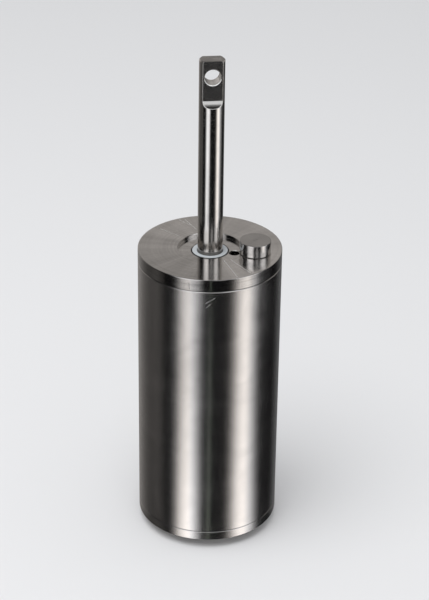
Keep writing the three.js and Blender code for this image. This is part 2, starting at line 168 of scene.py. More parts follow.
def panel(name, bottom, top, strengths, tones):
    """A curved panel of light. tones are (degrees round the tank from the camera, colour), from left to
    right, and strengths are at the panel's bottom and top."""
    first, last = tones[0][0], tones[-1][0]
    steps = max(6, round((last - first) / 3))
    mesh = bpy.data.meshes.new(name)
    corners = []
    for step in range(steps + 1):
        angle = radians(first + (last - first) * step / steps)
        spot = turn @ Vector((panel_reach * sin(angle), -panel_reach * cos(angle), 0))
        corners += [(spot.x, spot.y, bottom), (spot.x, spot.y, top)]
    faces = [(2 * i, 2 * i + 1, 2 * i + 3, 2 * i + 2) for i in range(steps)]
    mesh.from_pydata(corners, [], faces)
    across = mesh.uv_layers.new(name="across")
    for loop in mesh.loops:
        across.data[loop.index].uv = (loop.vertex_index // 2 / steps, loop.vertex_index % 2)
    light, glow = glowing(name)
    add = partial(put, light.node_tree)
    place = add("ShaderNodeUVMap", uv_map="across")
    split = fill(light.node_tree.nodes.new("ShaderNodeSeparateXYZ"), place)
    blend = fill(light.node_tree.nodes.new("ShaderNodeValToRGB"), split.outputs["X"])
    stops = blend.color_ramp.elements
    while len(stops) < len(tones):
        stops.new(1)
    for stop, (degrees_round, colour) in zip(stops, tones):
        stop.position = (degrees_round - first) / (last - first)
        stop.color = (*colour, 1)
    fade = add("ShaderNodeMapRange", split.outputs["Y"], To_Min=strengths[0], To_Max=strengths[1])
    fill(glow, Color=blend.outputs["Color"], Strength=fade)
    seen_in_steel(name, mesh, light)


def tinted(tint, *stops):
    """Stops of a panel in one tint, from (degrees round the tank, brightness)."""
    return [(place, tuple(part * tone for part in tint)) for place, tone in stops]


warm_tint = (1, 0.955, 0.92)
warm, cool = partial(tinted, warm_tint), partial(tinted, (0.97, 0.975, 1))
panel(
    "left_low", -2.6, -1.5, (3.3, 1.35),
    warm((-64, 0), (-55, 0.15), (-50, 0.42), (-44, 0.68), (-37, 0.85), (-32, 1))
    + cool((-27, 0.87), (-21, 0.55), (-15, 0.27), (-8, 0)),
)
panel(
    "left_panel", -1.5, -0.9, (1.35, 0.42),
    cool((-61, 0), (-54, 0.09))
    + warm((-48, 0.34), (-42, 0.60), (-37, 0.85), (-32, 1))
    + cool((-28, 0.88), (-23, 0.5), (-16, 0.16), (-11, 0)),
)
panel(
    "right_low", -2.6, -1.5, (2.2, 1.35),
    warm((28, 0), (34, 0.08), (40, 0.25), (47, 0.6), (54, 0.88), (61, 1), (67, 0.95))
    + cool((74, 0.68), (81, 0.42), (89, 0.15), (96, 0.05)),
)
panel(
    "right_panel", -1.5, -0.9, (1.35, 1.0),
    warm((31, 0), (37, 0.08), (43, 0.3), (50, 0.66), (56, 0.9), (61, 1), (66, 0.9))
    + cool((72, 0.5), (79, 0.25), (85, 0.06), (90, 0)),
)
panel(
    "left_middle", -0.9, 0.1, (1.4, 0.9),
    cool((-54, 0), (-49, 0.3), (-44, 0.7), (-37, 1), (-28, 1), (-19, 0.95), (-13, 0.5), (-8, 0)),
)
panel(
    "right_middle", -0.9, 0.1, (1.3, 1.3),
    warm((38, 0), (44, 0.15), (50, 0.55), (57, 1), (70, 1))
    + cool((77, 0.75), (85, 0.35), (96, 0.12), (110, 0.05)),
)
panel(
    "left_top", 0.12, 3.0, (1.7, 1.0),
    cool((-60, 0.3), (-50, 0.8), (-40, 1), (-20, 1), (-12, 0.4), (-8, 0)),
)
panel("right_top", 0.12, 3.0, (1.4, 0.9), cool((36, 0.2), (50, 0.9), (70, 1), (86, 0.5)))
panel("front_top", 0.35, 2.0, (0.7, 0.3), cool((2, 0), (8, 0.9), (14, 1), (20, 0.9), (26, 0)))
panel(
    "ceiling_edge", 3.2, 8.0, (1.3, 1.3),
    cool((-110, 0.25), (-62, 0.3), (-56, 1), (-16, 1), (-12, 0.5), (30, 0.5), (38, 1), (84, 1),
        (90, 0.3), (120, 0.25)),
)
panel("spark", 3.3, 5.2, (30, 30), [(1.2, (0.8, 0.92, 1)), (2.7, (0.8, 0.92, 1))])
panel(
    "left_flank", -2.6, 0.0, (0.10, 0.28),
    warm((-168, 1.5), (-151, 1.2), (-132, 0.65), (-118, 0.38), (-106, 0.3), (-92, 0.36), (-84, 0.28),
        (-78, 0.14), (-73, 0)),
)
panel("right_flank", -2.6, 0.0, (0.25, 0.2), cool((124, 0), (140, 0.25), (168, 0.8)))
panel(
    "back_left", 0.15, 2.5, (0.70, 0.13),
    warm((180, 1), (188, 0.9), (200, 1), (212, 0.85), (232, 0.6), (255, 0.3)),
)
panel(
    "back_right", 0.15, 2.5, (0.18, 0.66),
    warm((105, 0.5), (130, 0.8), (150, 1), (165, 0.85), (174, 1), (180, 1)),
)
panel("gap_light", -2.6, -0.9, (1.6, 0.1), [(1.2, (0, 0, 0)), (2.2, (0.88, 1, 0.85)), (3.2, (0, 0, 0))])
panel("back_ceiling", 2.5, 7.9, (0.15, 0.12), warm((120, 0.6), (180, 1), (250, 0.6)))
for name, level, tone in (("dim_ceiling", 7.9, 0.10), ("dim_ground", -2.6, 0.12)):
    disc = bpy.data.meshes.new(name)
    disc_steps = 48
    around = [2 * pi * k / disc_steps for k in range(disc_steps)]
    disc.from_pydata(
        [(panel_reach * cos(angle), panel_reach * sin(angle), level) for angle in around],
        [],
        [tuple(range(disc_steps))],
    )
    light, glow = glowing(name)
    fill(glow, Color=(*[part * tone for part in warm_tint], 1))
    seen_in_steel(name, disc, light)

# ---- Tank tube ----
# A length of thick stainless tube, 92 mm outside, turned all over. Its ends are faced square, with
# the edges just broken, so that the seams to the lid and the base show as fine bright lines.


def outline_of(corners):
    """Points of a closed or open outline. A corner is (radius, height) or (radius, height, rounding),
    and a rounded one becomes an arc with a close point on each side that keeps the faces flat."""
    arc_steps = 4
    points = []
    for i, corner in enumerate(corners):
        here = Vector(corner[:2])
        rounding = corner[2] if len(corner) > 2 else 0
        if rounding == 0:
            points.append(here)
            continue
        to_last = (Vector(corners[i - 1][:2]) - here).normalized()
        to_next = (Vector(corners[(i + 1) % len(corners)][:2]) - here).normalized()
        half_angle = to_last.angle(to_next) / 2
        reach = rounding / abs(sin(half_angle)) * cos(half_angle)
        centre = here + (to_last + to_next).normalized() * rounding / sin(half_angle)
        first, last = here + to_last * reach, here + to_next * reach
        hold = 0.2 * rounding
        points.append(first + to_last * hold)
        swing = (first - centre).angle_signed(last - centre)
        for step in range(arc_steps + 1):
            points.append(centre + Matrix.Rotation(-swing * step / arc_steps, 2) @ (first - centre))
        points.append(last + to_next * hold)
    return points


crease = radians(38)  # edges that turn more than this stay sharp


def finished(name, mesh_data):
    """A new object at the origin from a bmesh, with faces out and smooth except at sharp edges."""
    bmesh.ops.remove_doubles(mesh_data, verts=mesh_data.verts, dist=1e-7)
    bmesh.ops.recalc_face_normals(mesh_data, faces=mesh_data.faces)
    mesh = bpy.data.meshes.new(name)
    mesh_data.to_mesh(mesh)
    mesh_data.free()
    mesh.shade_smooth()
    mesh.set_sharp_from_angle(angle=crease)
    piece = bpy.data.objects.new(name, mesh)
    scene.collection.objects.link(piece)
    return piece


def turned(name, corners, segments=192, centre=(0, 0)):
    """A piece turned about Z. The outline runs from the axis to the axis, or closes on itself."""
    points = outline_of(corners)
    on_axis = points[0].x < 1e-7
    spun = bmesh.new()
    rings = []
    for point in points:
        count = 1 if point.x < 1e-7 else segments
        rings.append([
            spun.verts.new((
                centre[0] + point.x * cos(2 * pi * k / segments),
                centre[1] + point.x * sin(2 * pi * k / segments),
                point.y,
            ))
            for k in range(count)
        ])
    pairs = list(zip(rings, rings[1:]))
    if not on_axis:
        pairs.append((rings[-1], rings[0]))
    for lower, upper in pairs:
        for k in range(segments):
            after = (k + 1) % segments
            around = [lower[k % len(lower)], lower[after % len(lower)]]
            around += [upper[after % len(upper)], upper[k % len(upper)]]
            corners_used = list(dict.fromkeys(around))
            if len(corners_used) > 2:
                spun.faces.new(corners_used)
    return finished(name, spun)


def new_group(name, kind, results, **given):
    """A new node group, what adds nodes to it, and the outputs of its input node. results are the
    labels of its outputs, and given holds the labels of its inputs by kind of socket."""
    tree = bpy.data.node_groups.new(name, kind + "NodeTree")
    result_kind = "Geometry" if kind == "Geometry" else "Float"
    for label in results:
        tree.interface.new_socket(label, in_out="OUTPUT", socket_type="NodeSocket" + result_kind)
    for socket_kind, labels in given.items():
        for label in labels:
            tree.interface.new_socket(label, in_out="INPUT", socket_type="NodeSocket" + socket_kind)
    return tree, partial(put, tree), tree.nodes.new("NodeGroupInput").outputs


def marks_group():
    """Turning marks: fine lines round Z, on walls and faces alike, broader bands among them, and a painted
    sheen: noise in fans spreading from the axis, painted light and shade for the way the turned metal takes
    the light."""
    tree, add, given = new_group(
        "turning_marks", "Shader", ["Height", "Streaks", "Fans"],
        Float=["Line Pitch", "Band Pitch", "Lines", "Bands"],
    )
    split = fill(tree.nodes.new("ShaderNodeSeparateXYZ"), add("ShaderNodeTexCoord", out="Object")).outputs
    level = add("ShaderNodeCombineXYZ", split["X"], split["Y"])
    radius = add("ShaderNodeVectorMath", level, operation="LENGTH")
    travel = add("ShaderNodeMath", radius, split["Z"])
    cells_across = 14  # in a metre, so the marks change little on their way round

    def rings(pitch, detail):
        along = add("ShaderNodeMath", travel, given[pitch], operation="DIVIDE")
        spread = add("ShaderNodeVectorMath", level, operation="SCALE", Scale=cells_across)
        joined = add("ShaderNodeVectorMath", spread, add("ShaderNodeCombineXYZ", Z=along))
        return add("ShaderNodeTexNoise", Vector=joined, Scale=1, Detail=detail, Roughness=0.6)

    lines, bands = rings("Line Pitch", 2), rings("Band Pitch", 3)
    weighed = [
        add("ShaderNodeMath", source, given[weight], operation="MULTIPLY")
        for source, weight in ((lines, "Lines"), (bands, "Bands"))
    ]
    # Painted sheen: noise round the axis, painted light and shade in fans for the way turned faces take the
    # light.
    outward = add("ShaderNodeVectorMath", level, operation="NORMALIZE")
    add(
        "NodeGroupOutput",
        Height=add("ShaderNodeMath", *weighed),
        Streaks=bands,
        Fans=add("ShaderNodeTexNoise", Vector=outward, Scale=2.6, Detail=5, Roughness=0.65),
    )
    return tree


def handling_group():
    """Traces of use: cloudy smears that dull the metal, and fine scratches in a few directions."""
    tree, add, given = new_group(
        "handling", "Shader", ["Smears", "Scratches"], Float=["Smear Size", "Scratch Length", "Scratches"]
    )
    place = add("ShaderNodeTexCoord", out="Object")
    cloud_scale = add("ShaderNodeMath", 1, given["Smear Size"], operation="DIVIDE")
    scratch_scale = add("ShaderNodeMath", 1, given["Scratch Length"], operation="DIVIDE")
    clouds = add(
        "ShaderNodeTexNoise", Vector=place, Scale=cloud_scale, Detail=5, Roughness=0.62, Distortion=0.7
    )
    scored = None
    for tilt in (0.5, 1.9, 2.8):
        aim = add(
            "ShaderNodeMapping", Vector=place, Rotation=(tilt, 0.7 * tilt, 1.3 * tilt), Scale=(1, 26, 26)
        )
        cells = add("ShaderNodeTexNoise", Vector=aim, Scale=scratch_scale, Detail=1.5, Roughness=0.5)
        thin = add("ShaderNodeMapRange", cells, From_Min=0.74, From_Max=0.80)
        scored = thin if scored is None else add("ShaderNodeMath", scored, thin, operation="MAXIMUM")
    scored = add("ShaderNodeMath", scored, given["Scratches"], operation="MULTIPLY")
    add("NodeGroupOutput", Smears=clouds, Scratches=scored)
    return tree


def long_scratch_group():
    """One straight scratch from From to To, which fades out over Width to each side."""
    tree, add, given = new_group("long_scratch", "Shader", ["Mask"], Vector=["From", "To"], Float=["Width"])
    vectors = partial(add, "ShaderNodeVectorMath")
    run = vectors(given["To"], given["From"], operation="SUBTRACT")
    here = vectors(add("ShaderNodeTexCoord", out="Object"), given["From"], operation="SUBTRACT")
    covered = vectors(here, run, operation="DOT_PRODUCT")
    whole = vectors(run, run, operation="DOT_PRODUCT")
    share = add("ShaderNodeMath", covered, whole, operation="DIVIDE", use_clamp=True)
    nearest = vectors(run, operation="SCALE", Scale=share)
    off = vectors(here, nearest, operation="DISTANCE")
    mask = add("ShaderNodeMapRange", off, From_Max=given["Width"], To_Min=1, To_Max=0)
    add("NodeGroupOutput", mask)
    return tree


def painted_seam_shade_group():
    """A thin line of painted shade round a wall, at one level, for the dark gap of a seam."""
    tree, add, given = new_group("seam_grime", "Shader", ["Mask"], Float=["Level", "Half Width"])
    upward = add("ShaderNodeSeparateXYZ", add("ShaderNodeTexCoord", out="Object"), out="Z")
    off = add("ShaderNodeMath", upward, given["Level"], operation="SUBTRACT")
    size = add("ShaderNodeMath", off, operation="ABSOLUTE")
    mask = add("ShaderNodeMapRange", size, From_Max=given["Half Width"], To_Min=1, To_Max=0)
    add("NodeGroupOutput", mask)
    return tree


turning_marks = marks_group()
handling = handling_group()
long_scratch = long_scratch_group()
seam_grime = painted_seam_shade_group()


def effect(material, group, **values):
    """The outputs of a node group, placed in a material with these values."""
    return fill(material.node_tree.nodes.new("ShaderNodeGroup"), node_tree=group, **values).outputs


def steel(
    name, tint, roughness, anisotropy, marks, wear, bump,
    rough_swing=0.05, painted_sheen=0.0, rings=0.0, depth=0.14, scratches=(), seams=(),
):
    """Stainless steel with turning marks, traces of use, and painted light and shade. marks are the values of
    turning_marks and wear those of handling. The highlights are drawn out across the marks. painted_sheen and
    rings are how much of the colour follows the painted sheen of fans round the axis and the rings, depth is
    how dark it gets, scratches are (from, to, width, shade) and seams (level, half width) of thin lines of
    painted shade in the gaps of seams."""
    metal, shader = new_material(name)
    add = partial(put, metal.node_tree)
    lines, used = effect(metal, turning_marks, **marks), effect(metal, handling, **wear)
    # The colour follows the smears, which are real, and the painted sheen of fans, which is painted light and
    # shade.
    smears_and_painted_sheen = add("ShaderNodeMix", Factor=painted_sheen, A=used["Smears"], B=lines["Fans"])
    ringed = add("ShaderNodeMix", Factor=rings, A=smears_and_painted_sheen, B=lines["Streaks"])
    spread = add("ShaderNodeMapRange", ringed, From_Min=0.32, From_Max=0.68)
    dark = (*[(1 - depth) * part for part in tint], 1)
    colour = add("ShaderNodeMix", data_type="RGBA", Factor=spread, A=dark, B=(*tint, 1))
    scored = used["Scratches"]
    for start, end, width, tone in scratches:
        score = effect(metal, long_scratch, From=start, To=end, Width=width)["Mask"]
        scored = add("ShaderNodeMath", scored, score, operation="MAXIMUM")
        colour = add("ShaderNodeMix", data_type="RGBA", Factor=score, A=colour, B=(tone, tone, tone, 1))
    # Seams get a thin line of painted shade, near black, where the gap between parts lies in shade.
    for level, half_width in seams:
        seam_shade = effect(metal, seam_grime, Level=level, Half_Width=half_width)["Mask"]
        colour = add("ShaderNodeMix", data_type="RGBA", Factor=seam_shade, A=colour, B=(0.02, 0.02, 0.02, 1))
    mixed = add("ShaderNodeMath", lines["Streaks"], used["Smears"])
    dull = add("ShaderNodeMapRange", mixed, 0.6, 1.4, roughness - rough_swing, roughness + rough_swing)
    fill(
        shader,
        Base_Color=colour,
        Metallic=add("ShaderNodeMapRange", scored, To_Min=1.0, To_Max=0.75),
        Roughness=add("ShaderNodeMath", scored, 0.5, dull, operation="MULTIPLY_ADD"),
        Anisotropic=anisotropy,
        Anisotropic_Rotation=0.25,
        Tangent=add("ShaderNodeTangent", direction_type="RADIAL", axis="Z"),
        Normal=add("ShaderNodeBump", Strength=1.0, Distance=bump, Height=lines["Height"]),
    )
    return metal


def on_wall(radius, degrees_round, level):
    """A point on a wall round the axis, so many degrees from the front."""
    angle = radians(degrees_round - 90)
    return (radius * cos(angle), radius * sin(angle), level)


low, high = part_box("tank_tube")
body_radius = high.x
tank_steel = steel(
    "tank_steel",
    tint=(0.80, 0.78, 0.765),
    roughness=0.21,
    anisotropy=0.2,
    marks={"Line_Pitch": 0.00025, "Band_Pitch": 0.0022, "Lines": 0.5, "Bands": 0.25},
    wear={"Smear_Size": 0.03, "Scratch_Length": 0.02, "Scratches": 0.06},
    bump=0.000006,
    rough_swing=0.03,
    scratches=[
        (on_wall(body_radius, -9.5, 0.1845), on_wall(body_radius, -2.5, 0.1882), 0.00018, 1),
        (on_wall(body_radius, -9.0, 0.1815), on_wall(body_radius, -6.0, 0.1838), 0.00015, 0.8),
    ],
    # A line of painted shade at the foot of the tube, in the seam to the base.
    seams=[(low.z + 0.0002, 0.0004)],
)

edge, soft_edge = 0.0003, 0.0005  # broken edges
seam_edge = 0.0004  # where the tube meets the base and the lid
bore_radius = body_radius - 0.003
tank_tube = turned(
    "tank_tube_turned",
    [
        (bore_radius, low.z, edge), (body_radius, low.z, edge), (body_radius, high.z - seam_edge),
        (body_radius - seam_edge, high.z), (bore_radius, high.z, edge),
    ],
    segments=256,
)
tank_tube.data.materials.append(tank_steel)
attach(tank_tube, "tank")
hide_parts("tank_tube")

# ---- Base ----
# A turned disc that closes the tube. Its spigot is pressed up into the tube on a rubber ring, and a
# shallow socket in its middle takes the foot bearing.


def cut_from(piece, *cutters):
    """Cuts the cutters out of a piece, in order, and removes them. The piece still has no material."""
    for cutter in cutters:
        tool = piece.modifiers.new("cut", "BOOLEAN")
        tool.operation = "DIFFERENCE"
        tool.solver = "EXACT"
        tool.object = cutter
    cut = bpy.data.meshes.new_from_object(piece.evaluated_get(bpy.context.evaluated_depsgraph_get()))
    piece.modifiers.clear()
    piece.data = cut
    for cutter in cutters:
        bpy.data.objects.remove(cutter)
    cut.materials.clear()
    cut.shade_smooth()
    cut.set_sharp_from_angle(angle=crease)
    return piece


def hole_cutter(radius, bottom, top, centre, chamfers=(0, 0)):
    """A bar to cut a round hole from bottom to top, wider at each mouth by that chamfer."""
    below, above = chamfers
    past = 0.001
    corners = [(0, bottom - past), (radius + below, bottom - past), (radius + below, bottom)]
    corners += [(radius, bottom + below), (radius, top - above), (radius + above, top)]
    corners += [(radius + above, top + past), (0, top + past)]
    return turned("hole_cutter", corners, segments=64, centre=centre)


def grooved(radius, floor, level, half):
    """Corners of a seal's groove in a wall, from below, or from above where half is negative."""
    return [(radius, level - half), (floor, level - half), (floor, level + half), (radius, level + half)]


def spots_round(count, circle, first):
    """Centres spread evenly on a circle round the axis."""
    angles = [first + 2 * pi * k / count for k in range(count)]
    return [(circle * cos(angle), circle * sin(angle)) for angle in angles]


play = 0.0003  # between pieces that fit into each other
seal_section = 0.0024
low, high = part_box("base_disc")
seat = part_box("foot_bearing")[0].z
rim_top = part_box("tank_tube")[0].z
seal_middle = (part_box("base_seal")[0].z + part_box("base_seal")[1].z) / 2
spigot_radius = bore_radius - play
groove_half = 0.0015
groove_floor = spigot_radius - seal_section
bearing_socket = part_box("foot_bearing")[1].x + play
base_disc = turned(
    "base_disc_turned",
    [
        (0, low.z), (body_radius, low.z, edge), (body_radius, rim_top - seam_edge),
        (body_radius - seam_edge, rim_top), (spigot_radius, rim_top),
        *grooved(spigot_radius, groove_floor, seal_middle, groove_half),
        (spigot_radius, high.z, edge), (bearing_socket, high.z, edge), (bearing_socket, seat), (0, seat),
    ],
    segments=256,
)
foot_circle, first_foot, foot_hole = 0.027, radians(90), 0.0022
foot_spots = spots_round(3, foot_circle, first_foot)
foot_screw_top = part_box("foot_screw_1")[1].z
cut_from(
    base_disc,
    *[hole_cutter(foot_hole, low.z - 0.001, foot_screw_top + play, spot) for spot in foot_spots],
)
base_disc.data.materials.append(tank_steel)
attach(base_disc, "tank")
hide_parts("base_disc")

# ---- Base seal ----
# A moulded ring of black nitrile rubber, round in section. It sits in the groove of the base's spigot
# and grips the inside of the tube.


def sealing_ring(name, node, section, segments):
    """A rubber ring of round section that fills its CAD node's place."""
    low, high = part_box(node)
    half = section / 2
    middle = (high.x - low.x) / 2 - half
    level = (low.z + high.z) / 2
    centre = ((low.x + high.x) / 2, (low.y + high.y) / 2)
    sides = 20
    angles = [2 * pi * k / sides for k in range(sides)]
    corners = [(middle + half * cos(angle), level + half * sin(angle)) for angle in angles]
    return turned(name, corners, segments=segments, centre=centre)


def rubber(name, shade, roughness, grain):
    """Moulded black rubber: matt, with a fine bloom of dust."""
    black_rubber, shader = new_material(name)
    add = partial(put, black_rubber.node_tree)
    dust = effect(black_rubber, handling, Smear_Size=0.006, Scratch_Length=0.01, Scratches=0.2)["Smears"]
    clean, dusty = (shade, shade, 1.03 * shade, 1), (3 * shade, 3 * shade, 2.9 * shade, 1)
    place = add("ShaderNodeTexCoord", out="Object")
    pores = add("ShaderNodeTexNoise", Vector=place, Scale=1 / grain, Detail=3)
    fill(
        shader,
        Base_Color=add("ShaderNodeMix", data_type="RGBA", Factor=dust, A=clean, B=dusty),
        Roughness=add("ShaderNodeMapRange", dust, 0.3, 0.7, roughness - 0.12, roughness + 0.12),
        Specular_IOR_Level=0.35,
        Normal=add("ShaderNodeBump", Strength=0.5, Distance=0.00005, Height=pores),
    )
    return black_rubber


seal_rubber = rubber("seal_rubber", shade=0.012, roughness=0.42, grain=0.0005)
base_seal = sealing_ring("base_seal_ring", "base_seal", seal_section, segments=160)
base_seal.data.materials.append(seal_rubber)
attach(base_seal, "tank")
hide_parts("base_seal")

# ---- Rubber feet ----
# Three feet moulded in black rubber, a little narrower at the floor. Each has a recess from below for
# the screw that holds it to the base.


def end_tree(add, geometry, material):
    """Ends a tree of geometry nodes: makes its copies real and gives them their material."""
    real = add("GeometryNodeRealizeInstances", Geometry=geometry)
    add("NodeGroupOutput", add("GeometryNodeSetMaterial", Geometry=real, Material=material))


def placing_tree():
    """Geometry nodes that set copies of one piece evenly on a circle round Z."""
    tree, add, given = new_group(
        "placed_round", "Geometry", ["Geometry"],
        Object=["Piece"], Int=["Count"], Float=["Circle Radius", "First Angle"], Material=["Material"],
    )
    circle = add("GeometryNodeMeshCircle", Vertices=given["Count"], Radius=given["Circle Radius"])
    aim = add("ShaderNodeCombineXYZ", Z=given["First Angle"])
    spots = add("GeometryNodeTransform", Geometry=circle, Rotation=aim)
    piece = add("GeometryNodeObjectInfo", Object=given["Piece"], out="Geometry")
    copies = add("GeometryNodeInstanceOnPoints", Points=spots, Instance=piece)
    end_tree(add, copies, given["Material"])
    return tree


def grown(name, tree, **values):
    """The plain mesh object that a geometry-nodes tree makes from these named inputs."""
    seed = bpy.data.objects.new(name, bpy.data.meshes.new(name))
    scene.collection.objects.link(seed)
    grower = seed.modifiers.new("grower", "NODES")
    grower.node_group = tree
    for item in tree.interface.items_tree:
        if item.item_type == "SOCKET" and item.in_out == "INPUT":
            grower[item.identifier] = values[item.name.replace(" ", "_")]
    made = bpy.data.meshes.new_from_object(seed.evaluated_get(bpy.context.evaluated_depsgraph_get()))
    seed.modifiers.clear()
    seed.data = made
    return seed


placed_round = placing_tree()


def copies_round(name, piece, count, circle, first, material):
    """Copies of a piece made at the axis, set on a circle and made one mesh. The first is used up."""
    group = grown(
        name, placed_round,
        Piece=piece, Count=count, Circle_Radius=circle, First_Angle=first, Material=material,
    )
    bpy.data.objects.remove(piece)
    group.data.set_sharp_from_angle(angle=crease)
    return group


foot_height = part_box("base_disc")[0].z
foot_radius, foot_bore, head_recess = 0.007, 0.0023, 0.0043
screw_seat = 0.003
foot_rubber = rubber("foot_rubber", shade=0.014, roughness=0.7, grain=0.0003)
one_foot = turned(
    "one_foot",
    [
        (head_recess, 0, edge), (foot_radius - 0.001, 0, 0.0008), (foot_radius, 0.002, 0.001),
        (foot_radius, foot_height, edge), (foot_bore, foot_height), (foot_bore, screw_seat),
        (head_recess, screw_seat),
    ],
    segments=64,
)
rubber_feet = copies_round("rubber_feet", one_foot, 3, foot_circle, first_foot, foot_rubber)
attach(rubber_feet, "tank")
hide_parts("rubber_foot_1", "rubber_foot_2", "rubber_foot_3")

# ---- Foot screws ----
# Three stainless cap screws with a hexagon socket. They go up through the feet into tapped holes in
# the base.

fastener_steel = steel(
    "fastener_steel",
    tint=(0.74, 0.735, 0.72),
    roughness=0.30,
    anisotropy=0.4,
    marks={"Line_Pitch": 0.0002, "Band_Pitch": 0.001, "Lines": 0.5, "Bands": 0.4},
    wear={"Smear_Size": 0.008, "Scratch_Length": 0.006, "Scratches": 0.4},
    bump=0.000004,
)


def socket_screw(name, radius, head, head_height, seat, tip, across):
    """A cap screw at the axis, head down, bearing on seat, its end at tip. across is half its socket."""
    bottom = seat - head_height
    point = 0.0005
    corners = [(0, bottom), (head, bottom, edge), (head, seat, 0.0001), (radius, seat)]
    corners += [(radius, tip - point), (radius - point, tip), (0, tip)]
    lead, past = 0.0002, 0.001
    key = [(0, bottom - past), (across + lead, bottom - past), (across, bottom + lead)]
    key += [(across, bottom + 0.6 * head_height), (0, bottom + 0.75 * head_height)]
    return cut_from(turned(name, corners, segments=48), turned("hexagon", key, segments=6))


one_screw = socket_screw(
    "one_screw",
    radius=0.002, head=0.004, head_height=0.0024, seat=screw_seat, tip=foot_screw_top, across=0.0017,
)
foot_screws = copies_round("foot_screws", one_screw, 3, foot_circle, first_foot, fastener_steel)
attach(foot_screws, "tank")
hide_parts("foot_screw_1", "foot_screw_2", "foot_screw_3")

# ---- Foot bearing ----
# A cup turned from white plastic. It snaps over the rod's lower end, sits loose in the base's socket
# and comes out of the tank with the rod.


def reach(material, keep, origin=(0, 0, 0)):
    """The distance from an origin on the axes kept: (1, 1, 0) measures from an upright line."""
    add = partial(put, material.node_tree)
    shift = [-kept * start for kept, start in zip(keep, origin)]
    place = add("ShaderNodeTexCoord", out="Object")
    chosen = add("ShaderNodeMapping", Vector=place, Location=shift, Scale=keep)
    return add("ShaderNodeVectorMath", chosen, operation="LENGTH")


def plastic(name, grime_at):
    """White bearing plastic: waxy, a little translucent, with faint turning marks, and painted near black
    past one radius, a line of painted shade for the shaded gap round it."""
    tint, roughness = (0.53, 0.56, 0.585), 0.45
    white, shader = new_material(name)
    add = partial(put, white.node_tree)
    lines = effect(white, turning_marks, Line_Pitch=0.0003, Band_Pitch=0.0012, Lines=0.5, Bands=0.5)
    soil = effect(white, handling, Smear_Size=0.008, Scratch_Length=0.006, Scratches=0.3)["Smears"]
    soiled = (*[0.88 * part for part in tint], 1)
    shade = add("ShaderNodeMix", data_type="RGBA", Factor=soil, A=soiled, B=(*tint, 1))
    # Past the given radius the colour is painted near black: painted shade for the gap round the piece.
    outward = reach(white, (1, 1, 0))
    past = add("ShaderNodeMapRange", outward, From_Min=grime_at, From_Max=grime_at + 0.0001)
    fill(
        shader,
        Base_Color=add("ShaderNodeMix", data_type="RGBA", Factor=past, A=shade, B=(0.03, 0.03, 0.03, 1)),
        Roughness=add("ShaderNodeMapRange", lines["Streaks"], 0.3, 0.7, roughness - 0.08, roughness + 0.08),
        Specular_IOR_Level=0.4,
        Subsurface_Weight=0.15,
        Subsurface_Radius=(0.6, 0.7, 0.8),
        Subsurface_Scale=0.0012,
        Normal=add("ShaderNodeBump", Strength=0.6, Distance=0.00001, Height=lines["Height"]),
    )
    return white


bearing_plastic = plastic("bearing_plastic", grime_at=0.1)  # beyond its wall, so no painted shade falls on it
low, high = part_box("foot_bearing")
rod_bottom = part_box("rod")[0].z
snap = (rod_bottom + high.z) / 2
snap_half, snap_groove = 0.0007, 0.0042
cup_bore, snap_bore = 0.0053, 0.0048
foot_bearing = turned(
    "foot_bearing_cup",
    [
        (0, low.z), (high.x, low.z, soft_edge), (high.x, high.z, soft_edge), (cup_bore, high.z, edge),
        (cup_bore, snap + snap_half), (snap_bore, snap + 0.0004), (snap_bore, snap - 0.0004),
        (cup_bore, snap - snap_half), (cup_bore, rod_bottom), (0, rod_bottom),
    ],
    segments=128,
)
foot_bearing.data.materials.append(bearing_plastic)
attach(foot_bearing, "rod_foot")
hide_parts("foot_bearing")

# ---- Rod ----
# A bright 16 mm bar. Two flats are milled at its top end, with a round cutter that leaves a fillet at
# their foot, and the eye is drilled through them. Its lower end is turned down for the foot bearing.


def within(metal, *bands):
    """A mask that is 1 where every value lies in its band. A band is (value, low, high), or also has the
    widths over which it fades in and out."""
    add = partial(put, metal.node_tree)
    mask = None
    for value, low, high, *fades in bands:
        fade_in, fade_out = fades or (0.0001, 0.0001)
        for outside, inside in ((low - fade_in, low), (high + fade_out, high)):
            side = add("ShaderNodeMapRange", value, From_Min=outside, From_Max=inside)
            mask = side if mask is None else add("ShaderNodeMath", mask, side, operation="MULTIPLY")
    return mask


def refinish(metal, mask, **values):
    """Gives a material another colour, roughness or metallic value where the mask is 1."""
    shader = metal.node_tree.nodes["Principled BSDF"]
    for name, value in values.items():
        socket = shader.inputs[name.replace("_", " ")]
        kind = "RGBA" if socket.type == "RGBA" else "FLOAT"
        before = socket.links[0].from_socket
        after = put(metal.node_tree, "ShaderNodeMix", data_type=kind, Factor=mask, A=before, B=value)
        fill(shader, **{name: after})


def rod_section(radius, flat, corner, level):
    """One outline of the bar at a level: a circle cut off at y = flat and -flat, corners eased. A flat
    at the radius leaves a full circle. Every outline has the same number of points."""
    corner_steps, flat_steps, side_steps = 4, 10, 28
    along = sqrt(max((radius - corner) ** 2 - (flat - corner) ** 2, 0))
    start = atan2(flat - corner, along)
    quarter = [
        (radius * cos(start * k / side_steps), radius * sin(start * k / side_steps))
        for k in range(side_steps)
    ]
    for k in range(corner_steps):
        angle = start + (pi / 2 - start) * k / corner_steps
        quarter.append((along + corner * cos(angle), flat - corner + corner * sin(angle)))
    quarter += [(along * (1 - k / flat_steps), flat) for k in range(flat_steps + 1)]
    half_turn = quarter + [(-x, y) for x, y in reversed(quarter[:-1])]
    return [(x, y, level) for x, y in half_turn + [(x, -y) for x, y in reversed(half_turn[1:-1])]]


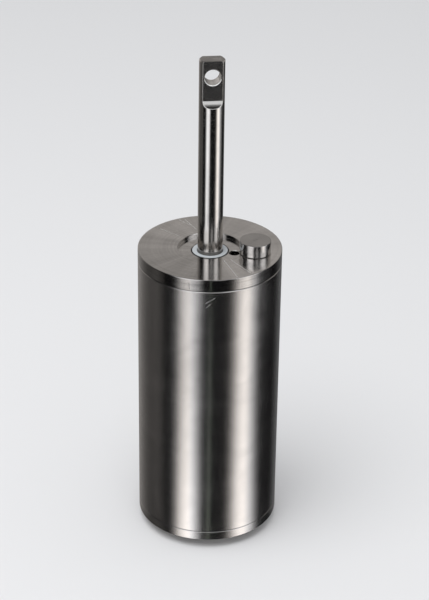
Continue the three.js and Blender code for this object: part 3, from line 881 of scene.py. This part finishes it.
low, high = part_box("rod")
clip_low, clip_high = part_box("carrier_clip")
rod_radius, pivot_radius, clip_groove, flat = 0.008, 0.005, 0.007, 0.005
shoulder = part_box("foot_bearing")[1].z + play
end_chamfer, easing = 0.0007, 0.0004
cutter_radius = 0.0045
flat_end = high.z - 0.0256
hold = 0.00008
levels = [(low.z, pivot_radius - edge), (low.z + edge, pivot_radius)]
for step, radius in ((-snap_half, snap_groove), (snap_half, pivot_radius)):
    levels += [(snap + step, levels[-1][1]), (snap + step, radius)]
levels += [(shoulder - hold, pivot_radius), (shoulder, pivot_radius), (shoulder, rod_radius - edge)]
levels += [(shoulder + edge, rod_radius), (clip_low.z - play, rod_radius)]
levels += [(clip_low.z - play, clip_groove), (clip_high.z, clip_groove), (clip_high.z, rod_radius)]
levels += [(clip_high.z + hold, rod_radius)]
sections = [rod_section(radius, radius, min(easing, radius), level) for level, radius in levels]
deepest = asin(sqrt(1 - ((cutter_radius + flat - rod_radius) / cutter_radius) ** 2))
runout_steps = 36
for k in range(runout_steps + 1):
    swing = deepest * (1 - k / runout_steps)
    level = flat_end - cutter_radius * sin(swing)
    depth = min(flat + cutter_radius * (1 - cos(swing)), rod_radius)
    sections.append(rod_section(rod_radius, depth, easing, level))
for radius, depth, level in (
    (rod_radius, flat, flat_end + hold),
    (rod_radius, flat, high.z - end_chamfer - hold),
    (rod_radius, flat, high.z - end_chamfer),
    (rod_radius - 0.8 * end_chamfer, flat, high.z - 0.2 * end_chamfer),
    (rod_radius - end_chamfer, flat - 0.0002, high.z),
):
    sections.append(rod_section(radius, depth, easing, level))


def skinned(name, rings):
    """A solid with a skin over rings of points, one after another, and with closed ends."""
    skin = bmesh.new()
    loops = [[skin.verts.new(spot) for spot in ring] for ring in rings]
    for before, after in zip(loops, loops[1:]):
        for k in range(len(before)):
            skin.faces.new((before[k - 1], before[k], after[k], after[k - 1]))
    skin.faces.new(reversed(loops[0]))
    skin.faces.new(loops[-1])
    bmesh.ops.remove_doubles(skin, verts=skin.verts, dist=1e-7)
    bmesh.ops.dissolve_degenerate(skin, edges=skin.edges, dist=1e-7)
    return finished(name, skin)


rod = skinned("rod_bar", sections)
eye_radius, eye_chamfer, eye_easing = 0.005, 0.0005, 0.0002
eye_mouth = eye_radius + eye_chamfer
eye_level = high.z - 0.0104
eye_cutter = turned(
    "eye_cutter",
    [
        (0, -2 * flat), (eye_mouth, -2 * flat), (eye_mouth, -flat),
        (eye_radius, eye_chamfer - flat, eye_easing), (eye_radius, flat - eye_chamfer, eye_easing),
        (eye_mouth, flat), (eye_mouth, 2 * flat), (0, 2 * flat),
    ],
    segments=96,
)
eye_cutter.data.transform(Matrix.Translation((0, 0, eye_level)) @ Matrix.Rotation(pi / 2, 4, "X"))
cut_from(rod, eye_cutter)
rod_steel = steel(
    "rod_steel",
    tint=(0.80, 0.78, 0.755),
    roughness=0.17,
    anisotropy=0.4,
    marks={"Line_Pitch": 0.0003, "Band_Pitch": 0.002, "Lines": 0.5, "Bands": 0.3},
    wear={"Smear_Size": 0.015, "Scratch_Length": 0.01, "Scratches": 0.05},
    bump=0.000005,
    rough_swing=0.03,
)
upward = reach(rod_steel, (0, 0, 1))
sideways = reach(rod_steel, (1, 0, 0))
outward = reach(rod_steel, (1, 1, 0))
from_eye = reach(rod_steel, (1, 0, 1), (0, 0, eye_level))
top = 1.0  # above everything
dish_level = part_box("guide_bush")[1].z
milled = within(rod_steel, (upward, flat_end, top), (sideways, 0, 0.0062, 0.0001, 0.0002))
refinish(rod_steel, milled, Roughness=0.27)
# Painted sheen: the fillet is painted lighter and less metallic, so that it shows the bright band it
# reflects.
painted_fillet_sheen = within(
    rod_steel,
    (upward, flat_end - 0.0010, flat_end, 0.0020, 0.0001),
    (outward, 0, 0.00775, 0.0001, 0.0001),
)
refinish(rod_steel, painted_fillet_sheen, Base_Color=(0.84, 0.835, 0.82, 1), Metallic=0.3, Roughness=0.36)
fillet_foot = flat_end - 0.0044
# Painted shade: a dark band at the foot of the fillet, where it reflects darkness.
painted_root_shade = within(
    rod_steel, (upward, fillet_foot, flat_end - 0.0030, 0.0001, 0.0007), (outward, 0, 0.00768)
)
refinish(rod_steel, painted_root_shade, Base_Color=(0.09, 0.088, 0.085, 1))
# Painted highlight: a thin light line along the edges of the runout.
painted_edge_highlight = within(
    rod_steel, (upward, fillet_foot, flat_end), (outward, 0.0077, 0.00788, 0.00004, 0.00004)
)
refinish(rod_steel, painted_edge_highlight, Base_Color=(0.9, 0.9, 0.89, 1), Metallic=0.45)
# Painted highlight: a light ring on the lower part of the eye's chamfer.
painted_eye_highlight = within(
    rod_steel, (from_eye, 0.00508, 0.00545), (upward, 0, eye_level - 0.0014, 0.0001, 0.0008)
)
refinish(rod_steel, painted_eye_highlight, Base_Color=(0.92, 0.92, 0.9, 1), Metallic=0.5)
# Painted shade: a dark band round the rod where it enters the bush, for the shadow at its foot.
painted_base_shade = within(rod_steel, (upward, dish_level - 0.001, dish_level + 0.0017, 0.0003, 0.0008))
refinish(rod_steel, painted_base_shade, Base_Color=(0.24, 0.225, 0.21, 1), Roughness=0.34)
# Painted shade: the end face of the rod is painted darker.
painted_end_shade = within(rod_steel, (upward, high.z - 0.0001, top))
refinish(rod_steel, painted_end_shade, Base_Color=(0.36, 0.35, 0.34, 1))
rod.data.materials.append(rod_steel)
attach(rod, "rod")
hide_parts("rod")

# ---- Carrier clip ----
# An open clip stamped from spring steel. It snaps into the rod's groove and holds the reel carrier
# up.


def spring_clip(name, node, inside, material):
    """An open ring in its CAD node's place, stamped from strip and eased at its edges. It is widest
    opposite its opening, and each end has a rounded lug."""
    low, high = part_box(node)
    outside = -low.x
    gap = radians(50)
    steps = 96
    ease = 0.00015
    lug_half = 0.035  # of the ring's length
    rings = []
    for k in range(steps + 1):
        angle = gap / 2 + (2 * pi - gap) * k / steps
        from_end = min(k, steps - k) / steps
        lug = sqrt(max(1 - (from_end / lug_half - 1) ** 2, 0)) if from_end < 2 * lug_half else 0
        body = 0.55 + 0.45 * sin(pi * k / steps) ** 0.8
        width = max(0.98 * lug, body if from_end > 0.05 else 0.3 + 0.25 * lug)
        rim = inside + (outside - inside) * width
        profile = [
            (inside, low.z + ease), (inside + ease, low.z), (rim - ease, low.z), (rim, low.z + ease),
            (rim, high.z - ease), (rim - ease, high.z), (inside + ease, high.z), (inside, high.z - ease),
        ]
        rings.append([(r * cos(angle), r * sin(angle), z) for r, z in profile])
    clip = skinned(name, rings)
    clip.data.materials.append(material)
    return clip


spring_steel = steel(
    "spring_steel",
    tint=(0.42, 0.40, 0.37),
    roughness=0.36,
    anisotropy=0.2,
    marks={"Line_Pitch": 0.0003, "Band_Pitch": 0.002, "Lines": 0.3, "Bands": 0.2},
    wear={"Smear_Size": 0.006, "Scratch_Length": 0.006, "Scratches": 0.5},
    bump=0.000004,
)
carrier_clip = spring_clip("carrier_clip_ring", "carrier_clip", clip_groove + 0.00015, spring_steel)
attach(carrier_clip, "rod")
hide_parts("carrier_clip")

# ---- Reel carrier ----
# A round plate of stainless steel, turned and bored to slide on the rod. It rests on the clip, and the
# stack of reels stands on it and is lifted out by it.

slide_bore = rod_radius + play


def ring_on_rod(name, node, segments):
    """A turned ring that slides on the rod, in its CAD node's place."""
    low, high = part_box(node)
    corners = [(slide_bore, low.z, edge), (high.x, low.z, soft_edge), (high.x, high.z, soft_edge)]
    return turned(name, [*corners, (slide_bore, high.z, edge)], segments)


reel_carrier = ring_on_rod("reel_carrier_plate", "reel_carrier", segments=192)
reel_carrier.data.materials.append(fastener_steel)
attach(reel_carrier, "rod")
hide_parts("reel_carrier")

# ---- Reels ----
# Each side of a reel is a spiral of stainless wire welded to six bent spokes, between a rim and a ring
# round the hub. The film's edges slide into the spirals, and a spring plate on the hub grips its end.


def reel_side_tree():
    """Geometry nodes for one side of a reel, lying at z = 0 with its spiral up: the spiral, the rim, the
    ring round the hub and the spokes, all of round wire."""
    tree, add, given = new_group(
        "reel_side", "Geometry", ["Geometry"],
        Float=["Hub Radius", "Rim Radius", "Turns", "Spiral Wire", "Spoke Wire"],
        Int=["Spokes"], Material=["Material"],
    )

    def calculate(operation, first, second):
        return add("ShaderNodeMath", first, second, operation=operation)

    def wire(curve, radius, sides):
        section = add("GeometryNodeCurvePrimitiveCircle", Resolution=sides, Radius=radius)
        return add("GeometryNodeCurveToMesh", Curve=curve, Profile_Curve=section, Fill_Caps=True)

    def raised(geometry, height):
        lift = add("ShaderNodeCombineXYZ", Z=height)
        return add("GeometryNodeTransform", Geometry=geometry, Translation=lift)

    hub, rim = given["Hub Radius"], given["Rim Radius"]
    thin = calculate("MULTIPLY", given["Spiral Wire"], 0.5)
    thick = calculate("MULTIPLY", given["Spoke Wire"], 0.5)
    over_spokes = calculate("ADD", calculate("MULTIPLY", thick, 1.8), thin)
    near, far = calculate("ADD", hub, thick), calculate("SUBTRACT", rim, thick)
    spiral = add(
        "GeometryNodeCurveSpiral",
        Resolution=72,
        Rotations=given["Turns"],
        Start_Radius=calculate("ADD", hub, 0.0028),
        End_Radius=calculate("SUBTRACT", rim, given["Spiral Wire"]),
        Height=0.0,
    )
    parts = [raised(wire(spiral, thin, 8), over_spokes)]
    for radius in (far, near):
        hoop = add("GeometryNodeCurvePrimitiveCircle", Resolution=128, Radius=radius)
        parts.append(raised(wire(hoop, thick, 10), thick))
    spoke = add(
        "GeometryNodeCurvePrimitiveLine",
        Start=add("ShaderNodeCombineXYZ", near),
        End=add("ShaderNodeCombineXYZ", far),
    )
    spots = add("GeometryNodeMeshLine", Count=given["Spokes"], Offset=(0, 0, 0))
    apart = calculate("DIVIDE", 2 * pi, given["Spokes"])
    aim = add("ShaderNodeCombineXYZ", Z=calculate("MULTIPLY", add("GeometryNodeInputIndex"), apart))
    spoke_wire = wire(spoke, thick, 10)
    spokes = add("GeometryNodeInstanceOnPoints", Points=spots, Instance=spoke_wire, Rotation=aim)
    parts.append(raised(spokes, thick))
    join = tree.nodes.new("GeometryNodeJoinGeometry")
    for part in parts:
        fill(join, part)
    end_tree(add, join.outputs["Geometry"], given["Material"])
    return tree


reel_steel = steel(
    "reel_steel",
    tint=(0.72, 0.72, 0.71),
    roughness=0.25,
    anisotropy=0.0,
    marks={"Line_Pitch": 0.0006, "Band_Pitch": 0.003, "Lines": 0.15, "Bands": 0.3},
    wear={"Smear_Size": 0.01, "Scratch_Length": 0.006, "Scratches": 0.4},
    bump=0.000004,
)
reel_side = reel_side_tree()
hub_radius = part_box("reel_1_hub")[1].x
clip_spread, clip_steps = radians(50), 24
reel_count = 3
for number in range(1, reel_count + 1):
    for side, upside in (("lower", 1), ("upper", -1)):
        node = f"reel_{number}_{side}_side"
        low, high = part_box(node)
        wires = grown(
            f"{node}_wires",
            reel_side,
            Hub_Radius=hub_radius + play,
            Rim_Radius=high.x,
            Turns=9.5,
            Spiral_Wire=0.0009,
            Spoke_Wire=0.0012,
            Spokes=6,
            Material=reel_steel,
        )
        outer_face = low.z if upside == 1 else high.z
        wires.data.transform(Matrix.Translation((0, 0, outer_face)) @ Matrix.Diagonal((1, upside, upside, 1)))
        wires.data.shade_smooth()
        wires.data.set_sharp_from_angle(angle=radians(50))
        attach(wires, "rod")
        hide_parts(node)

    hub = ring_on_rod(f"reel_{number}_hub_tube", f"reel_{number}_hub", segments=128)
    hub.data.materials.append(reel_steel)
    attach(hub, "rod")
    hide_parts(f"reel_{number}_hub")

    low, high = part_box(f"reel_{number}_film_clip")
    columns = []
    for k in range(clip_steps + 1):
        share = k / clip_steps
        angle = clip_spread * (share - 0.5)
        lift = 0.0016 * max(share - 0.72, 0) / 0.28
        inside = hub_radius + play + lift
        outside = inside + 0.0006
        trim = 0.004 * max(share - 0.8, 0) ** 2 / 0.04
        bottom, top_edge = low.z + trim, high.z - trim
        profile = ((inside, bottom), (outside, bottom), (outside, top_edge), (inside, top_edge))
        columns.append([(r * cos(angle), r * sin(angle), z) for r, z in profile])
    film_clip = skinned(f"reel_{number}_film_spring", columns)
    film_clip.data.materials.append(spring_steel)
    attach(film_clip, "rod")
    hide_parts(f"reel_{number}_film_clip")

# ---- Stop collar and its screw ----
# A turned stainless collar that holds the stack of reels down. It is locked on the rod by a grub screw
# with a hexagon socket, in a tapped hole through its wall.

low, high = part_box("stop_collar")
collar_middle = (low.z + high.z) / 2
stop_collar = ring_on_rod("stop_collar_ring", "stop_collar", segments=192)
lay_forward = Matrix.Translation((0, 0, collar_middle)) @ Matrix.Rotation(pi / 2, 4, "X")
tap_radius, tap_mouth = 0.0022, 0.0029
tapped = turned(
    "tapped_hole",
    [
        (0, 0.006), (tap_radius, 0.006), (tap_radius, high.x - 0.0004), (tap_mouth, high.x + edge),
        (tap_mouth, 0.016), (0, 0.016),
    ],
    segments=48,
)
tapped.data.transform(lay_forward)
cut_from(stop_collar, tapped)
stop_collar.data.materials.append(fastener_steel)
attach(stop_collar, "rod")
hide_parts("stop_collar")

screw_tip, screw_back = rod_radius + play, 0.0128
collar_screw = turned(
    "collar_grub_screw",
    [(0, screw_tip), (0.002, screw_tip, edge), (0.002, screw_back, edge), (0, screw_back)],
    segments=48,
)
key_half = 0.0012
hexagon = turned(
    "hexagon",
    [(0, screw_back - 0.0015), (key_half, screw_back - 0.0013), (key_half, 0.014), (0, 0.014)],
    segments=6,
)
cut_from(collar_screw, hexagon)
collar_screw.data.transform(lay_forward)
collar_screw.data.materials.append(spring_steel)
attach(collar_screw, "rod")
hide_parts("collar_screw")

# ---- Lid ----
# A heavy turned disc with a spigot and a seal, like the base. Its top is faced, with a shallow dish
# round the rod. A vent is drilled through the dish's floor, and the filling port beside it, on the line
# that the lid is turned to.

lid_turn = radians(-19.4)
low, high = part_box("lid_disc")
plug_low, plug_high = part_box("filling_plug")
plug_spot = ((plug_low.x + plug_high.x) / 2, (plug_low.y + plug_high.y) / 2)
tube_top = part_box("tank_tube")[1].z
seal_middle = (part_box("lid_seal")[0].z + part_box("lid_seal")[1].z) / 2
bush_low, bush_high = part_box("guide_bush")
bush_radius = 0.0117
bush_seat = bush_radius + play
neck_radius = 0.0106
neck_seat = neck_radius + play
bush_shoulder = low.z + 0.0034
dish_floor = bush_high.z - 0.0002
dish_radius = 0.0205
vent_offset, vent_radius, port_radius = 0.0159, 0.0033, 0.0069
vent_spot = (vent_offset * cos(lid_turn), vent_offset * sin(lid_turn))
lid_disc = turned(
    "lid_disc_turned",
    [
        (neck_seat, low.z, edge), (spigot_radius, low.z, edge),
        *grooved(spigot_radius, groove_floor, seal_middle, groove_half),
        (spigot_radius, tube_top), (body_radius, tube_top, edge), (body_radius, high.z, 0.0004),
        (dish_radius + edge, high.z), (dish_radius, high.z - edge), (dish_radius, dish_floor, 0.0002),
        (bush_seat + 0.0002, dish_floor), (bush_seat, dish_floor - 0.0002),
        (bush_seat, bush_shoulder), (neck_seat, bush_shoulder),
    ],
    segments=256,
)
baffle_circle, baffle_first, baffle_hole = 0.026, radians(60) + lid_turn, 0.0017
baffle_spots = spots_round(3, baffle_circle, baffle_first)
baffle_screw_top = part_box("baffle_screw_1")[1].z
cut_from(
    lid_disc,
    hole_cutter(vent_radius, low.z, dish_floor, vent_spot, (edge, edge)),
    hole_cutter(port_radius, low.z, high.z, plug_spot, (edge, 0.0004)),
    *[hole_cutter(baffle_hole, low.z - 0.001, baffle_screw_top + play, spot) for spot in baffle_spots],
)
lid_top, edge_top = high.z, high.z - 0.003
lid_steel = steel(
    "lid_steel",
    tint=(0.76, 0.74, 0.72),
    roughness=0.17,
    anisotropy=0.7,
    marks={"Line_Pitch": 0.0003, "Band_Pitch": 0.0015, "Lines": 0.4, "Bands": 0.5},
    wear={"Smear_Size": 0.02, "Scratch_Length": 0.016, "Scratches": 0.06},
    bump=0.000007,
    rough_swing=0.03,
    # Painted sheen: most of the lid's colour follows the fans round the axis, painted light and shade, made
    # strong by depth.
    painted_sheen=0.75,
    rings=0.25,
    depth=0.45,
    scratches=[
        (on_wall(0.0270, -167, lid_top), on_wall(0.0430, -164, lid_top), 0.0002, 1),
        (on_wall(0.0340, -164, lid_top), on_wall(0.0440, -159, lid_top), 0.0002, 1),
        (on_wall(0.0250, -134, lid_top), on_wall(0.0410, -135, lid_top), 0.00025, 0.9),
        (on_wall(0.0205, 19, lid_top), on_wall(0.0440, 16, lid_top), 0.0002, 1),
        (on_wall(0.0220, 30, lid_top), on_wall(0.0430, 29, lid_top), 0.0002, 1),
        (on_wall(body_radius, -23, edge_top), on_wall(body_radius, -22.5, edge_top - 0.004), 0.0003, 0.1),
    ],
    # A line of painted shade in the seam where the lid meets the tube.
    seams=[(tube_top + 0.0002, 0.0004)],
)
lid_disc.data.materials.append(lid_steel)
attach(lid_disc, "lid")
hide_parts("lid_disc")

# ---- Lid seal ----
# The same moulded rubber ring as the base's, in the groove of the lid's spigot. It grips the tube, so
# that the lid pushes on and pulls off.

lid_seal = sealing_ring("lid_seal_ring", "lid_seal", seal_section, segments=160)
lid_seal.data.materials.append(seal_rubber)
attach(lid_seal, "lid")
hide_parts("lid_seal")

# ---- Guide bush ----
# A white plastic bush in a counterbore of the lid, its flange just proud of the dish's floor. The rod
# turns and slides in it, past a seal.

rod_seal_low, rod_seal_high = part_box("rod_seal")
seal_half = (rod_seal_high.z - rod_seal_low.z) / 2 + play
seal_level = (rod_seal_low.z + rod_seal_high.z) / 2
clip_seat, clip_slot = 0.0098, 0.0012
guide_bush = turned(
    "guide_bush_turned",
    [
        (slide_bore, bush_low.z, edge), (neck_radius, bush_low.z, edge),
        (neck_radius, low.z - clip_slot), (clip_seat, low.z - clip_slot),
        (clip_seat, low.z), (neck_radius, low.z), (neck_radius, bush_shoulder),
        (bush_radius, bush_shoulder), (bush_radius, bush_high.z, edge), (slide_bore, bush_high.z, 0.0001),
        *grooved(slide_bore, slide_bore + 0.0022, seal_level, -seal_half),
    ],
)
# The outer rim of the bush's flange is painted dark: painted shade for the shaded gap between the bush and
# its counterbore.
bush_plastic = plastic("bush_plastic", grime_at=bush_radius - 0.00045)
guide_bush.data.materials.append(bush_plastic)
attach(guide_bush, "lid")
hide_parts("guide_bush")

# ---- Rod seal ----
# A small moulded rubber ring in the groove of the bush's bore. It wipes the rod and keeps the liquid
# in.

rod_seal = sealing_ring("rod_seal_ring", "rod_seal", 0.0021, segments=96)
rod_seal.data.materials.append(seal_rubber)
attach(rod_seal, "lid")
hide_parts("rod_seal")

# ---- Bush clip ----
# An open clip stamped from spring steel, like the carrier's. It snaps round the bush's neck under the
# lid and holds the bush down in its counterbore.

bush_clip = spring_clip("bush_clip_ring", "bush_clip", clip_seat + 0.0001, spring_steel)
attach(bush_clip, "lid")
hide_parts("bush_clip")

# ---- Light baffle ----
# A shallow pressed dish under the lid. Liquid runs round its rim, and light from the vent and the port
# stops on it. It hangs on three spacers and screws.

low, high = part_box("light_baffle")
baffle_outside = 0.038
sheet_thickness = 0.0015
sheet_under, sheet_inside = high.z - sheet_thickness, baffle_outside - sheet_thickness
light_baffle = turned(
    "light_baffle_dish",
    [
        (slide_bore, sheet_under, edge), (sheet_inside, sheet_under, 0.0004), (sheet_inside, low.z, edge),
        (baffle_outside, low.z, edge), (baffle_outside, high.z, 0.0012), (slide_bore, high.z, edge),
    ],
)
spacer_bore = 0.0018
cut_from(
    light_baffle,
    *[hole_cutter(spacer_bore, sheet_under, high.z, spot, (0.0001, 0.0001)) for spot in baffle_spots],
)
light_baffle.data.materials.append(reel_steel)
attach(light_baffle, "lid")
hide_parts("light_baffle")

# ---- Baffle spacers and screws ----
# Three short turned tubes of stainless steel between the baffle and the lid. A cap screw goes up
# through the baffle and each tube into the lid.

low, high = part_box("baffle_spacer_1")
spacer_radius = 0.0035
one_spacer = turned(
    "one_spacer",
    [
        (spacer_bore, low.z), (spacer_radius, low.z, edge), (spacer_radius, high.z, edge),
        (spacer_bore, high.z),
    ],
    segments=64,
)
spacers = copies_round("baffle_spacers", one_spacer, 3, baffle_circle, baffle_first, fastener_steel)
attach(spacers, "lid")
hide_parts("baffle_spacer_1", "baffle_spacer_2", "baffle_spacer_3")

screw_head = 0.002
baffle_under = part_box("baffle_screw_1")[0].z + screw_head
one_screw = socket_screw(
    "one_screw",
    radius=0.0015, head=0.00275, head_height=screw_head, seat=baffle_under, tip=baffle_screw_top,
    across=0.0013,
)
baffle_screws = copies_round("baffle_screws", one_screw, 3, baffle_circle, baffle_first, fastener_steel)
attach(baffle_screws, "lid")
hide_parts("baffle_screw_1", "baffle_screw_2", "baffle_screw_3")

# ---- Filling plug ----
# A turned knob on a stem that pushes into the filling port. The lathe centre has left a small ring in
# the middle of its top.

plug_radius = 0.010
stem_radius = 0.0065
plug_under = plug_high.z - 0.0082
plug_seal_low, plug_seal_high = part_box("plug_seal")
plug_seal_level = (plug_seal_low.z + plug_seal_high.z) / 2
plug_groove = plug_seal_high.z - plug_seal_level + play
filling_plug = turned(
    "filling_plug_knob",
    [
        (0, plug_low.z), (stem_radius, plug_low.z, 0.001),
        *grooved(stem_radius, stem_radius - 0.0017, plug_seal_level, plug_groove),
        (stem_radius, plug_under), (plug_radius, plug_under, 0.0004), (plug_radius, plug_high.z, edge),
        (0.0017, plug_high.z, 0.00003), (0.00155, plug_high.z - 0.0001, 0.00003),
        (0.0014, plug_high.z, 0.00003), (0.0005, plug_high.z), (0, plug_high.z - 0.0002),
    ],
    centre=plug_spot,
)
plug_steel = steel(
    "plug_steel",
    tint=(0.74, 0.725, 0.71),
    roughness=0.18,
    anisotropy=0.6,
    marks={"Line_Pitch": 0.0003, "Band_Pitch": 0.0012, "Lines": 0.4, "Bands": 0.6},
    wear={"Smear_Size": 0.01, "Scratch_Length": 0.008, "Scratches": 0.06},
    bump=0.000006,
    rough_swing=0.06,
)
# Painted shade: the knob's top face is painted darker.
painted_top_shade = within(plug_steel, (reach(plug_steel, (0, 0, 1)), plug_high.z - 0.00012, top))
refinish(plug_steel, painted_top_shade, Base_Color=(0.43, 0.42, 0.41, 1))
filling_plug.data.materials.append(plug_steel)
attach(filling_plug, "plug")
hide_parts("filling_plug")

plug_seal = sealing_ring("plug_seal_ring", "plug_seal", 0.0018, segments=64)
plug_seal.data.materials.append(seal_rubber)
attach(plug_seal, "plug")
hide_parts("plug_seal")
